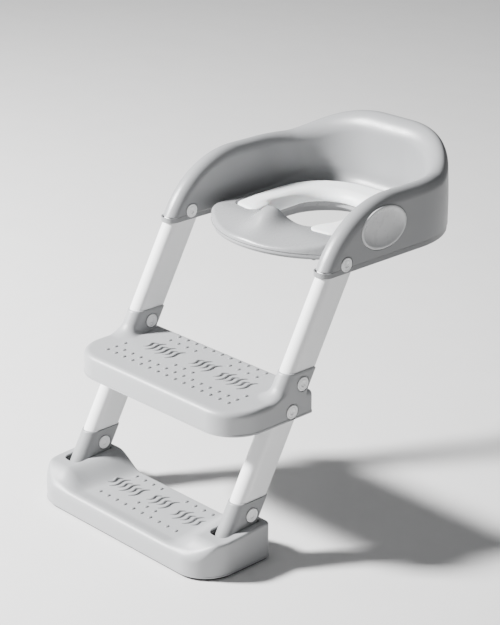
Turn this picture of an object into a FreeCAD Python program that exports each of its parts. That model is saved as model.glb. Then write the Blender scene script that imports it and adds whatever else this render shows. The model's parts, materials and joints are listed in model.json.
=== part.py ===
"""Potty training seat for a toilet, with a folding two-step ladder.

The row frame has +Z up, -Y towards the child, and its origin on the floor at the middle of the
object's box.  Seat pieces are drawn about the pivot's Y, at their own height.  Ladder pieces are
drawn in the rail frame: origin on the fold axis, +Z up along the rail, -Y towards its round front.
"""
import FreeCAD, Part
import math
import os
import re
import Sketcher

V = FreeCAD.Vector
doc = FreeCAD.newDocument("potty_ladder")
sheet = doc.addObject("Spreadsheet::Sheet", "sizes")

SIZES = {
    # fold axis and the lean of the rails
    "pivot_y": -10.5, "pivot_height": 415, "rail_lean": 60.5,
    # surround: two arms and a raised back
    "arm_outside": 187, "arm_width": 35, "shell_wall": 2.4, "shell_bottom": 408.5,
    "shell_rear": 318, "back_width": 36, "back_radius": 152, "inner_radius": 118,
    "arm_front": -44, "arm_crest": 501, "crest_radius": 160, "rise_start": 240, "rise_radius": 100,
    "rise_end": 305, "back_crest": 549, "back_crest_radius": 100, "rim_radius": 15.5,
    "flange_front": 52, "flange_top": 413.5, "flange_thick": 3.5,
    # underside tray
    "base_bottom": 401, "tray_thick": 4, "tray_inset": 1.2, "band_wall": 1.5,
    "fold_slot_rear": 102, "skirt_depth": 16, "skirt_wall": 2.5, "skirt_x": 94,
    "skirt_front": 40, "skirt_rear": 248, "skirt_radius": 88,
    # seat ring, splash guard and cushion
    "ring_bottom": 405, "ring_deck": 427, "ring_wall": 3, "ring_x": 130, "ring_rear": 263.4,
    "ring_waist": 122, "ring_rear_radius": 103, "ring_shoulder_y": 21, "ring_shoulder_radius": 44,
    "ring_apex_y": -83, "ring_front_radius": 178, "lip_height": 9, "hole_x": 69, "hole_rear": 206,
    "hole_rear_radius": 64, "hole_front": 47, "hole_front_radius": 46,
    "seat_recess": 7, "recess_gap": 1, "guard_x": 56, "guard_y": 21.5, "guard_rise": 37,
    "guard_base": 415, "guard_centre": 25, "cushion_thick": 9.7, "cushion_x": 119, "cushion_rear": 261.5,
    "cushion_hole_x": 66, "cushion_hole_rear": 203, "stud_radius": 3,
    # badges on the arms
    "badge_y": 79, "badge_height": 454, "badge_long": 48, "badge_short": 33, "badge_proud": 1.2,
    "badge_dish": 4.5, "badge_depth": 6,
    # rails
    "rail_x": 169.5, "rail_width": 29, "rail_front": 28.5, "rail_back": 20, "rail_wall": 2.4,
    "rail_corner": 3, "rail_end": 18, "upper_rail_end": 204, "lower_rail_start": 209, "lower_rail_end": 405,
    "plug_end": 48, "fit_gap": 0.2, "sleeve_wall": 1.8,
    # middle step
    "step_x": 186, "step_rear": -64, "step_front": -228, "step_bottom": 200.5, "tread_height": 237.4,
    "step_corner": 58, "step_wall": 3, "step_edge": 9, "ear_top": 272,
    # foot sockets and the hinge in the base
    "socket_top": 96, "socket_end": 452, "hinge_along": 436, "hinge_front": 4,
    "hinge_pin_radius": 4, "running_gap": 0.05,
    # base step
    "base_x": 200, "base_rear": -164, "base_front": -297, "base_corner": 54,
    "base_rear_corner": 9, "base_lift": 2, "hump_edge": 8, "hump_round": 14, "tread_round": 22,
    "hump_top": 59, "hump_fall": 3, "hump_shoulder": -270, "nose_fall": 14, "base_tread": 33,
    "tread_x": 100, "hump_x": 143, "base_wall": 3, "slot_front": -248, "slot_rear": -174,
    "slot_gap": 0.8, "saddle_thick": 4,
    # fasteners
    "cap_radius": 10.7, "cap_thick": 1.3, "cap_recess": 3.2, "recess_depth": 0.8,
    "ear_bolt_upper": 184.6, "ear_bolt_lower": 228.7, "ear_bolt_line": 4.8, "foot_bolt": 390,
    "foot_bolt_line": 3.2, "bolt_radius": 2.5, "barrel_radius": 4, "pivot_barrel_radius": 5,
    "washer_radius": 11, "washer_thick": 0.5, "washer_gap": 0.05, "screw_radius": 1.6,
    "screw_head": 3.4, "screw_head_thick": 1.4, "screw_bite": 9, "boss_radius": 4.5,
    "boss_height": 30, "pilot_depth": 16, "ring_pilot_depth": 12, "stud_head_thick": 2.5,
    "nut_floor": 6, "tip_gap": 2,
    # ribs, rubber pads and the strip under the base
    "rib_thick": 2, "step_rib_depth": 28, "pad_length": 30, "pad_width": 14, "pad_thick": 1.8,
    "strip_inset": 1, "strip_width": 9, "strip_seat_thick": 2.5, "saddle_length": 44,
    "slot_floor": 12,
}
# places in plan: across, and Y from the fold axis
ARM_SCREWS = [("rail_x", "118"), ("-rail_x", "118"), ("rail_x", "165"), ("-rail_x", "165")]
BACK_SCREWS = [("62", "298"), ("-62", "298"), ("0", "300")]
SHELL_SCREWS = ARM_SCREWS + BACK_SCREWS
RING_SCREWS = [("108", "30"), ("-108", "30"), ("104", "205"), ("-104", "205")]
STUDS = [("92", "70"), ("-92", "70"), ("92", "160"), ("-92", "160"), ("0", "236")]
GRIP_PADS = [("118", "150"), ("-118", "150"), ("96", "16"), ("-96", "16"), ("110", "235"),
             ("-110", "235")]
STEP_LONG_RIBS = ["-205", "-175", "-100"]
STEP_CROSS_RIBS = ["-112", "-56", "0", "56", "112"]
BASE_RIBS = ["-90", "-45", "0", "45", "90"]

for row, (alias, number) in enumerate(SIZES.items(), start=1):
    sheet.set(f"A{row}", alias)
    sheet.set(f"B{row}", str(number))
    sheet.setAlias(f"B{row}", alias)
doc.recompute()

SUBPARTS = []


def sized(expression):
    """Turn alias words into references to the sheet, leaving functions as they are."""
    return re.sub(r"[a-z]+(?:_[a-z]+)+", lambda word: "sizes." + word.group(), str(expression))


def value(expression):
    """The present number of an expression in aliases."""
    return float(sheet.evalExpression(sized(expression)))


def bind(thing, **properties):
    """Bind properties to expressions; a double underscore stands for a dot."""
    for name, expression in properties.items():
        thing.setExpression(name.replace("__", "."), sized(expression))
    return thing


def place(thing, height="0", across="0", along="pivot_y"):
    """Put a piece at its height, with its Y measured from the fold axis."""
    return bind(thing, Placement__Base__x=across, Placement__Base__y=along, Placement__Base__z=height)


def on_rail(thing, across="rail_x"):
    """Put a piece drawn in the rail frame on the leaning rail."""
    thing.Placement.Rotation = FreeCAD.Rotation(V(1, 0, 0), -(90 - value("rail_lean")))
    bind(thing, Placement__Rotation__Angle="rail_lean - 90")
    thing.Placement.Rotation.Axis = V(1, 0, 0)
    return place(thing, "pivot_height", across)


def subpart(thing, name):
    """Name a finished sub-part: its label is its file's name."""
    thing.Label = name
    SUBPARTS.append(thing)
    return thing


# Sketches, pads and pockets

def new_body(name):
    return doc.addObject("PartDesign::Body", name)


def new_sketch(body, name, plane):
    """A sketch on one of the body's own origin planes."""
    support = next(item for item in body.Origin.OriginFeatures if item.Role == plane)
    sketch = body.newObject("Sketcher::SketchObject", name)
    sketch.AttachmentSupport = (support, [""])
    sketch.MapMode = "FlatFace"
    return sketch


def fix_point(sketch, geometry, position, across, up):
    """Hold a point at bound distances from the sketch's origin."""
    for kind, expression, axis in (("DistanceX", across, -2), ("DistanceY", up, -1)):
        number = value(expression)
        if abs(number) < 1e-9:
            sketch.addConstraint(Sketcher.Constraint("PointOnObject", geometry, position, axis))
            continue
        index = sketch.addConstraint(Sketcher.Constraint(kind, -1, 1, geometry, position, number))
        sketch.setExpression(f"Constraints[{index}]", sized(expression))


def outline(sketch, corners):
    """A closed outline through bound corner points (across, up, rounding radius or None)."""
    points = [V(value(across), value(up), 0) for across, up, _ in corners]
    arrive, leave, arcs = [], [], []
    for index, (_, _, radius) in enumerate(corners):
        here = points[index]
        back = (points[index - 1] - here).normalize()
        ahead = (points[(index + 1) % len(points)] - here).normalize()
        half = back.getAngle(ahead) / 2
        cut = value(radius) / math.tan(half) if radius else 0
        arrive.append(here + back * cut)
        leave.append(here + ahead * cut)
        arcs.append((back + ahead).normalize() * (value(radius) / math.sin(half)) if radius else None)
    lines = []
    for index in range(len(points)):
        lines.append(sketch.addGeometry(Part.LineSegment(leave[index - 1], arrive[index]), False))
    for index, (across, up, radius) in enumerate(corners):
        before, after = lines[index], lines[(index + 1) % len(points)]
        if not radius:
            sketch.addConstraint(Sketcher.Constraint("Coincident", before, 2, after, 1))
            fix_point(sketch, before, 2, across, up)
            continue
        centre = points[index] + arcs[index]
        turns_left = (points[index] - arrive[index]).cross(leave[index] - points[index]).z > 0
        first, last = (arrive[index], leave[index]) if turns_left else (leave[index], arrive[index])
        circle = Part.Circle(centre, V(0, 0, 1), value(radius))
        ends = [math.atan2(point.y - centre.y, point.x - centre.x) for point in (first, last)]
        arc = sketch.addGeometry(Part.ArcOfCircle(circle, *ends), False)
        first_end, last_end = (1, 2) if turns_left else (2, 1)
        corner = sketch.addGeometry(Part.Point(points[index]), True)
        sketch.addConstraint([
            Sketcher.Constraint("Tangent", before, 2, arc, first_end),
            Sketcher.Constraint("Tangent", arc, last_end, after, 1),
            Sketcher.Constraint("PointOnObject", corner, 1, before),
            Sketcher.Constraint("PointOnObject", corner, 1, after)])
        bound = sketch.addConstraint(Sketcher.Constraint("Radius", arc, value(radius)))
        sketch.setExpression(f"Constraints[{bound}]", sized(radius))
        fix_point(sketch, corner, 1, across, up)
    return sketch


def pad(body, sketch, length, downwards=False, middle=False):
    """A pad of bound length."""
    feature = body.newObject("PartDesign::Pad", sketch.Name + "_pad")
    feature.Profile = sketch
    feature.Reversed = downwards
    feature.Midplane = middle
    sketch.Visibility = False
    return bind(feature, Length=length)


def pocket(body, sketch, length, downwards=False, middle=False):
    """A pocket of bound length, which has to take material away."""
    doc.recompute()
    volume = body.Shape.Volume
    feature = body.newObject("PartDesign::Pocket", sketch.Name + "_pocket")
    feature.Profile = sketch
    feature.Reversed = downwards
    feature.Midplane = middle
    bind(feature, Length=length)
    doc.recompute()
    if body.Shape.Volume > volume - 1:
        raise RuntimeError(f"{sketch.Name} cuts nothing")
    return feature


def mirrored_corners(half):
    """Close a half outline (given from rear middle to front middle) by its mirror image."""
    other = [(f"-({across})", up, radius) for across, up, radius in reversed(half) if across != "0"]
    return half + other


def sharp_edges(shape, wanted):
    """Names of the edges where two faces meet at a clear angle and wanted(middle point) holds."""
    names = []
    for index, edge in enumerate(shape.Edges, start=1):
        middle = edge.valueAt((edge.FirstParameter + edge.LastParameter) / 2)
        faces = shape.ancestorsOfType(edge, Part.Face)
        if len(faces) != 2 or not wanted(middle):
            continue
        normals = [face.normalAt(*face.Surface.parameter(middle)) for face in faces]
        if normals[0].getAngle(normals[1]) > math.radians(25):
            names.append(f"Edge{index}")
    return names


def fillet(body, radius, wanted):
    """Round a body's sharp edges that wanted() picks by their middle point."""
    doc.recompute()
    base = body.Tip
    feature = body.newObject("PartDesign::Fillet", body.Name + "_round")
    feature.Base = (base, sharp_edges(base.Shape, wanted))
    bind(feature, Radius=radius)
    doc.recompute()
    return feature


# Primitives and booleans

def box(name, length, width, height, corner):
    """A bound box whose lowest corner is at corner, in the row frame."""
    thing = bind(doc.addObject("Part::Box", name), Length=length, Width=width, Height=height)
    return bind(thing, Placement__Base__x=corner[0], Placement__Base__y=corner[1],
                Placement__Base__z=corner[2])


def cylinder(name, radius, length, start, axis="Z"):
    """A bound cylinder from start along X or Z, in the row frame."""
    thing = bind(doc.addObject("Part::Cylinder", name), Radius=radius, Height=length)
    if axis == "X":
        thing.Placement.Rotation = FreeCAD.Rotation(V(0, 1, 0), 90)
    return bind(thing, Placement__Base__x=start[0], Placement__Base__y=start[1],
                Placement__Base__z=start[2])


def cut(name, base, tools):
    """Base less one or more tools."""
    result = doc.addObject("Part::Cut", name)
    result.Base = base
    result.Tool = tools if not isinstance(tools, list) else fuse(name + "_tools", tools)
    return result


def fuse(name, things):
    result = doc.addObject("Part::MultiFuse", name)
    result.Shapes = things
    return result


def common(name, things):
    result = doc.addObject("Part::MultiCommon", name)
    result.Shapes = things
    return result


def group(name, things):
    """Identical pieces that share one node."""
    result = doc.addObject("Part::Compound", name)
    result.Links = things
    return result


def mirror(name, source):
    """The same piece on the other side of the object."""
    result = doc.addObject("Part::Mirroring", name)
    result.Source = source
    result.Normal = V(1, 0, 0)
    return result


def both_sides(name, right):
    """The right-hand piece and its mirror image, each a sub-part of its own."""
    subpart(right, name + "_right")
    return subpart(mirror(name + "_mirror", right), name + "_left")


# Places along the leaning rail, as expressions in the row frame

def rail_y(along, front="0"):
    return f"pivot_y - ({along}) * cos(rail_lean) - ({front}) * sin(rail_lean)"


def rail_z(along, front="0"):
    return f"pivot_height - ({along}) * sin(rail_lean) + ({front}) * cos(rail_lean)"


# Seat unit

def surround_corners(inset):
    """Plan of the surround, from the rear middle round the right arm, moved in by inset."""
    outside, inside = f"arm_outside - {inset}", f"arm_outside - arm_width + {inset}"
    return [
        (outside, f"shell_rear - {inset}", f"back_radius - {inset}"),
        (outside, "arm_front - 30", None),
        (inside, "arm_front - 30", None),
        (inside, f"shell_rear - back_width + {inset}", f"inner_radius + {inset}"),
        (f"-({inside})", f"shell_rear - back_width + {inset}", f"inner_radius + {inset}"),
        (f"-({inside})", "arm_front - 30", None),
        (f"-({outside})", "arm_front - 30", None),
        (f"-({outside})", f"shell_rear - {inset}", f"back_radius - {inset}")]


def above_crest(inset):
    """Side view of what is cut away in front of the arms and above the rim."""
    front = f"arm_front + ({inset}) / sin(rail_lean)"
    start = "base_bottom - shell_bottom"
    level = f"arm_crest - {inset} - shell_bottom"
    return [
        (front, start, None),
        (f"{front} + ({level} - ({start})) / tan(rail_lean)", level, f"crest_radius - {inset}"),
        ("rise_start", level, f"rise_radius + {inset}"),
        ("rise_end", f"back_crest - {inset} - shell_bottom", f"back_crest_radius - {inset}"),
        ("shell_rear + 40", f"back_crest - {inset} - shell_bottom", None),
        ("shell_rear + 40", "back_crest + 40 - shell_bottom", None),
        ("arm_front - 60", "back_crest + 40 - shell_bottom", None),
        ("arm_front - 60", start, None)]


def surround_form(name, inset):
    """The surround's solid form: plan, side view and the fully rounded rim."""
    body = new_body(name)
    plan = outline(new_sketch(body, name + "_plan", "XY_Plane"), surround_corners(inset))
    pad(body, plan, "back_crest + 20 - shell_bottom")
    side = outline(new_sketch(body, name + "_side", "YZ_Plane"), above_crest(inset))
    pocket(body, side, "4 * arm_outside", middle=True)
    fillet(body, f"rim_radius - {inset}", lambda middle: middle.z > 2)
    return place(body, "shell_bottom")


def ring_corners(grow):
    """Plan of the seat ring, from the rear round the right side, grown by grow."""
    return mirrored_corners([
        (f"ring_waist + {grow}", f"ring_rear + {grow}", f"ring_rear_radius + {grow}"),
        (f"ring_x + {grow}", "ring_shoulder_y", f"ring_shoulder_radius + {grow}"),
        ("0", f"ring_apex_y - 1.28 * ({grow})", f"ring_front_radius + {grow}")])


def hole_form(name, grow, height, start):
    """The way through the seat, as a solid: round behind, squarer in front."""
    body = new_body(name)
    pad(body, outline(new_sketch(body, name + "_plan", "XY_Plane"), mirrored_corners([
        (f"hole_x + {grow}", f"hole_rear + {grow}", f"hole_rear_radius + {grow}"),
        (f"hole_x + {grow}", f"hole_front - ({grow})", f"hole_front_radius + {grow}")])), height)
    return place(body, start)


def build_surround():
    outer = surround_form("surround_outer", "0")
    hollow = surround_form("surround_hollow", "shell_wall")

    flange = new_body("surround_flange")
    plan = new_sketch(flange, "flange_plan", "XY_Plane")
    inside = "arm_outside - arm_width + 1"
    outline(plan, [
        (inside, "shell_rear - back_width + 1", "inner_radius + 1"), (inside, "flange_front", None),
        (f"-({inside})", "flange_front", None),
        (f"-({inside})", "shell_rear - back_width + 1", "inner_radius + 1")])
    pad(flange, plan, "flange_thick")
    well = outline(new_sketch(flange, "flange_well", "XY_Plane"), ring_corners("0.4"))
    pocket(flange, well, "flange_thick", downwards=True)
    place(flange, "flange_top - flange_thick")

    posts = []
    for index, (across, along) in enumerate(SHELL_SCREWS):
        foot = (across, f"pivot_y + {along}", "shell_bottom")
        posts.append(cylinder(f"boss_{index}", "boss_radius", "boss_height", foot))
        in_arm = index < len(ARM_SCREWS)
        length, width = "rib_thick", "back_width - shell_wall"
        if in_arm:
            length, width = "arm_width - shell_wall", "rib_thick"
        corner = (f"{across} - ({length}) / 2", f"pivot_y + {along} - ({width}) / 2", "shell_bottom")
        posts.append(box(f"web_{index}", length, width, "boss_height", corner))
    holes = [cylinder(f"boss_hole_{index}", "screw_radius", "pilot_depth",
                      (across, f"pivot_y + {along}", "shell_bottom"))
             for index, (across, along) in enumerate(SHELL_SCREWS)]
    for side in (1, -1):
        holes.append(cylinder(f"cheek_hole_{side}", "pivot_barrel_radius + running_gap",
                              "arm_width - shell_wall", arm_point(side, "arm_outside - arm_width",
                              "arm_outside - shell_wall"), "X"))
        holes.append(cylinder(f"bolt_hole_{side}", "bolt_radius + fit_gap", "2 * shell_wall",
                              arm_point(side, "arm_outside - 1.5 * shell_wall",
                                        "arm_outside + 0.5 * shell_wall"), "X"))
        holes.append(badge_form(f"badge_hole_{side}", side, "badge_long - 4 + fit_gap",
                                "badge_short - 4 + fit_gap", "arm_outside - 2 * shell_wall",
                                "4 * shell_wall"))
    shell = cut("surround_walls", outer, hollow)
    subpart(cut("surround_shell", fuse("surround_solid", [shell, flange] + posts), holes),
            "surround_shell")


def arm_point(side, right_start, left_start):
    """Where a cylinder along +X starts on the fold axis, on the right (1) or left (-1) arm."""
    across = right_start if side > 0 else f"-({left_start})"
    return (across, "pivot_y", "pivot_height")


def badge_form(name, side, long, short, start, thickness):
    """An oval plate on an arm's outer side, from start outwards."""
    oval = bind(doc.addObject("Part::Ellipse", name + "_oval"), MajorRadius=long, MinorRadius=short)
    oval.Placement.Rotation = FreeCAD.Rotation(V(1, 1, 1), 120)
    across = start if side > 0 else f"-({start})"
    place(oval, "badge_height", across, "pivot_y + badge_y")
    plate = doc.addObject("Part::Extrusion", name)
    plate.Base = oval
    plate.Dir = V(side, 0, 0)
    plate.DirMode = "Custom"
    plate.Solid = True
    return bind(plate, LengthFwd=thickness)


def build_badges():
    face = badge_form("badge_face", 1, "badge_long", "badge_short", "arm_outside", "badge_proud")
    plug = badge_form("badge_plug", 1, "badge_long - 4", "badge_short - 4",
                      "arm_outside - badge_depth", "badge_depth")
    dish = bind(doc.addObject("Part::Ellipsoid", "badge_dish_form"), Radius1="badge_dish",
                Radius2="badge_short - 5", Radius3="badge_long - 5")
    dish.Placement.Rotation = FreeCAD.Rotation(V(0, 1, 0), 90)
    place(dish, "badge_height", "arm_outside + badge_proud", "pivot_y + badge_y")
    both_sides("side_badge", cut("badge_right", fuse("badge_solid", [face, plug]), dish))


def build_seat_base():
    """Tray under the seat: an inset band below the shell, fold slots and the locating skirt."""
    body = new_body("tray")
    outside = "arm_outside - tray_inset"
    inside = "arm_outside - arm_width + tray_inset"
    front = "arm_front + tray_inset"
    plan = [
        (outside, "shell_rear - tray_inset", "back_radius - tray_inset"),
        (outside, front, "rim_radius - tray_inset"), (inside, front, "rim_radius - tray_inset"),
        (inside, "flange_front", "6"), ("ring_x - 2", "flange_front", None),
        ("ring_x - 2", "ring_shoulder_y", "ring_shoulder_radius - 2"),
        ("0", "ring_apex_y + 2.56", "ring_front_radius - 2")]
    pad(body, outline(new_sketch(body, "tray_plan", "XY_Plane"), mirrored_corners(plan)), "tray_thick")
    place(body, "base_bottom")

    band = new_body("band")
    sketch = new_sketch(band, "band_plan", "XY_Plane")
    outline(sketch, mirrored_corners(plan[:3] + [(inside, "flange_front + 12", None)]))
    pad(band, sketch, "shell_bottom - base_bottom")
    inner = new_sketch(band, "band_inner", "XY_Plane")
    wall = "tray_inset + band_wall"
    outline(inner, mirrored_corners([
        (f"arm_outside - ({wall})", f"shell_rear - ({wall})", f"back_radius - ({wall})"),
        (f"arm_outside - ({wall})", "flange_front + 8", None)]))
    pocket(band, inner, "shell_bottom - base_bottom", downwards=True)
    place(band, "base_bottom")

    arm_sides = []
    for side in (1, -1):
        arm = new_body(f"band_arm_{'right' if side > 0 else 'left'}")
        sketch = new_sketch(arm, f"arm_band_{'right' if side > 0 else 'left'}", "XY_Plane")
        sign = "" if side > 0 else "-"
        outline(sketch, [(f"{sign}({across})", up, radius) for across, up, radius in [
            (outside, "fold_slot_rear + 4", None), (outside, front, "rim_radius - tray_inset"),
            (inside, front, "rim_radius - tray_inset"), (inside, "fold_slot_rear + 4", None)]])
        pad(arm, sketch, "shell_bottom - base_bottom")
        arm_sides.append(place(arm, "base_bottom"))

    skirt = new_body("skirt")
    for name, shrink in (("skirt_outer", "0"), ("skirt_inner", "skirt_wall")):
        sketch = outline(new_sketch(skirt, name, "XY_Plane"), mirrored_corners([
            (f"skirt_x - {shrink}", f"skirt_rear - {shrink}", f"skirt_radius - {shrink}"),
            (f"skirt_x - {shrink}", f"skirt_front + {shrink}", f"skirt_radius - {shrink}")]))
        if shrink == "0":
            pad(skirt, sketch, "skirt_depth + tray_thick")
        else:
            pocket(skirt, sketch, "skirt_depth + tray_thick", downwards=True)
    place(skirt, "base_bottom - skirt_depth")

    slots = []
    for side in (1, -1):
        slot = new_body(f"fold_slot_{'right' if side > 0 else 'left'}")
        sketch = new_sketch(slot, f"slot_plan_{'right' if side > 0 else 'left'}", "XY_Plane")
        sign = "" if side > 0 else "-"
        gap = "rail_width / 2 + washer_gap + washer_thick + fit_gap"
        nose = f"{front} + band_wall"
        outline(sketch, [(f"{sign}({across})", up, radius) for across, up, radius in [
            (f"rail_x + {gap}", "fold_slot_rear", None), (f"rail_x + {gap}", nose, "rim_radius - 3"),
            (f"rail_x - ({gap})", nose, "rim_radius - 3"),
            (f"rail_x - ({gap})", "fold_slot_rear", None)]])
        pad(slot, sketch, "30")
        slots.append(place(slot, "base_bottom - 10"))
    opening = hole_form("tray_hole", "4", "30", "base_bottom - 10")
    screws = [cylinder(f"tray_screw_{index}", "screw_radius + fit_gap", "30",
                       (across, f"pivot_y + {along}", "base_bottom - 10"))
              for index, (across, along) in enumerate(SHELL_SCREWS + RING_SCREWS)]
    solid = fuse("tray_solid", [body, band, skirt] + arm_sides)
    subpart(cut("seat_base", solid, slots + [opening] + screws), "seat_base")


def ring_form(name, inset):
    """The ring's solid form: plan, sloping front and rounded edge."""
    body = new_body(name)
    plan = outline(new_sketch(body, name + "_plan", "XY_Plane"), ring_corners(f"(0 - {inset})"))
    deck = f"ring_deck - {inset} - ring_bottom"
    pad(body, plan, deck)
    side = outline(new_sketch(body, name + "_side", "YZ_Plane"), [
        ("-60", f"lip_height - {inset}", None),
        ("ring_shoulder_y - 46", f"lip_height - {inset}", "60"),
        ("30", deck, "60"), ("90", deck, None), ("90", "60", None), ("-60", "60", None)])
    pocket(body, side, "3 * ring_x", middle=True)
    fillet(body, f"lip_height - 2.5 - {inset}", lambda middle: middle.z > 3.5)
    return place(body, "ring_bottom")


def guard_form(name, inset):
    """The splash guard's half egg, above the ring's bottom."""
    egg = bind(doc.addObject("Part::Ellipsoid", name + "_egg"), Radius1=f"guard_rise - {inset}",
               Radius2=f"guard_x - {inset}", Radius3=f"guard_y - {inset}")
    place(egg, "guard_base", "0", "pivot_y + guard_centre")
    block = box(name + "_block", "200", "100", "60", ("-100", "pivot_y + guard_centre - 50",
                                                      f"ring_bottom + 4 - ({inset})"))
    return common(name, [egg, block])


def build_ring():
    outer = fuse("ring_outer", [ring_form("ring_block", "0"), guard_form("guard_block", "0")])
    hollow = fuse("ring_hollow", [ring_form("ring_void", "ring_wall"),
                                  guard_form("guard_void", "ring_wall")])
    collar = hole_form("hole_collar", "ring_wall", "ring_deck - seat_recess - ring_bottom",
                       "ring_bottom")
    bosses = [cylinder(f"ring_boss_{index}", "boss_radius", "ring_deck - 3.5 - ring_bottom",
                       (across, f"pivot_y + {along}", "ring_bottom"))
              for index, (across, along) in enumerate(RING_SCREWS)]
    bosses.append(collar)
    body = new_body("cushion_recess")
    sketch = new_sketch(body, "recess_plan", "XY_Plane")
    outline(sketch, cushion_corners("recess_gap"))
    pad(body, sketch, "30")
    place(body, "ring_deck - seat_recess")
    deck = new_body("recess_floor")
    sketch = new_sketch(deck, "floor_plan", "XY_Plane")
    outline(sketch, cushion_corners("ring_wall"))
    pad(deck, sketch, "ring_wall")
    place(deck, "ring_deck - seat_recess - ring_wall")
    holes = [hole_form("seat_hole", "0", "80", "ring_bottom - 10"), body]
    holes += [cylinder(f"ring_screw_hole_{index}", "screw_radius", "ring_pilot_depth",
                       (across, f"pivot_y + {along}", "ring_bottom"))
              for index, (across, along) in enumerate(RING_SCREWS)]
    holes += [cylinder(f"stud_hole_{index}", "stud_radius + fit_gap", "30",
                       (across, f"pivot_y + {along}", "ring_bottom"))
              for index, (across, along) in enumerate(STUDS)]
    walls = cut("ring_walls", outer, hollow)
    subpart(cut("seat_ring", fuse("ring_solid", [walls, deck] + bosses), holes), "seat_ring")


def cushion_corners(grow):
    """Plan of the horseshoe cushion, from the outer rear to the inner rear, grown by grow."""
    half = [
        ("0 - cushion_x", "cushion_rear", "102"), ("0 - cushion_x", "118", "150"), ("-112", "52", "16"),
        ("-56", "42", "14"), ("0 - cushion_hole_x", "105", "90"),
        ("0 - cushion_hole_x", "cushion_hole_rear", "62")]
    signs = [(-1, 1, 1), (-1, 0, 1), (-1, -1, 1), (1, -1, 1), (1, 0, -1), (1, -1, -1)]
    grown = [(f"{across} + ({grow}) * {sx}", f"{up} + ({grow}) * {sy}", f"{radius} + ({grow}) * {sr}")
             for (across, up, radius), (sx, sy, sr) in zip(half, signs)]
    return grown + [(f"0 - ({across})", up, radius) for across, up, radius in reversed(grown)]


def build_cushion():
    body = new_body("cushion")
    sketch = outline(new_sketch(body, "cushion_plan", "XY_Plane"), cushion_corners("0"))
    pad(body, sketch, "cushion_thick")
    fillet(body, "3.5", lambda middle: middle.z > value("cushion_thick") - 1)
    subpart(place(body, "ring_deck - seat_recess"), "seat_cushion")
    studs = []
    for index, (across, along) in enumerate(STUDS):
        seat = (across, f"pivot_y + {along}", "ring_deck - seat_recess - ring_wall - 3")
        stem = cylinder(f"stud_stem_{index}", "stud_radius", "ring_wall + 3", seat)
        head = cylinder(f"stud_head_{index}", "stud_radius + 1", "stud_head_thick", seat)
        studs.append(fuse(f"stud_{index}", [stem, head]))
    subpart(group("cushion_studs", studs), "cushion_studs")


def build_seat_screws():
    for name, places, grip in (("shell_screws", SHELL_SCREWS, "shell_bottom - base_bottom"),
                               ("ring_screws", RING_SCREWS, "tray_thick")):
        screws = []
        for index, (across, along) in enumerate(places):
            seat = (across, f"pivot_y + {along}", "base_bottom")
            shank = cylinder(f"{name}_shank_{index}", "screw_radius", f"{grip} + screw_bite", seat)
            under = (across, f"pivot_y + {along}", "base_bottom - screw_head_thick")
            head = cylinder(f"{name}_head_{index}", "screw_head", "screw_head_thick", under)
            screws.append(fuse(f"{name}_{index}", [shank, head]))
        subpart(group(name, screws), name)


def build_grip_pads():
    pads = [box(f"grip_pad_{index}", "pad_length", "pad_width", "pad_thick",
                (f"{across} - pad_length / 2", f"pivot_y + {along} - pad_width / 2",
                 "base_bottom - pad_thick"))
            for index, (across, along) in enumerate(GRIP_PADS)]
    subpart(group("toilet_grip_pads", pads), "toilet_grip_pads")


# Fasteners along X through an arm, an ear or a socket

def hex_recess(name, across, y, z, depth):
    """A six-sided tool recess."""
    prism = bind(doc.addObject("Part::Prism", name), Circumradius="cap_recess", Height=depth)
    prism.Polygon = 6
    prism.Placement.Rotation = FreeCAD.Rotation(V(0, 1, 0), 90)
    return bind(prism, Placement__Base__x=across, Placement__Base__y=y, Placement__Base__z=z)


def bolt_and_nut(name, y, z, outside, inside, barrel, barrel_end):
    """A bolt from the outer face and the barrel nut that it screws into from the inner face."""
    cap = cylinder(name + "_cap", "cap_radius", "cap_thick", (outside, y, z), "X")
    tip = f"{inside} + nut_floor + tip_gap"
    shank = cylinder(name + "_shank", "bolt_radius", f"{outside} - ({tip})", (tip, y, z), "X")
    tool = hex_recess(name + "_tool", f"{outside} + cap_thick - recess_depth", y, z, "recess_depth")
    bolt = cut(name + "_bolt", fuse(name + "_solid", [cap, shank]), tool)
    head = cylinder(name + "_nut_cap", "cap_radius", "cap_thick", (f"{inside} - cap_thick", y, z), "X")
    sleeve = cylinder(name + "_sleeve", barrel, f"{barrel_end} - ({inside})", (inside, y, z), "X")
    bore = cylinder(name + "_bore", "bolt_radius", f"{barrel_end} - ({inside}) - nut_floor",
                    (f"{inside} + nut_floor", y, z), "X")
    grip = hex_recess(name + "_grip", f"{inside} - cap_thick", y, z, "recess_depth")
    return bolt, cut(name + "_nut", fuse(name + "_nut_solid", [head, sleeve]), [bore, grip])


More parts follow.
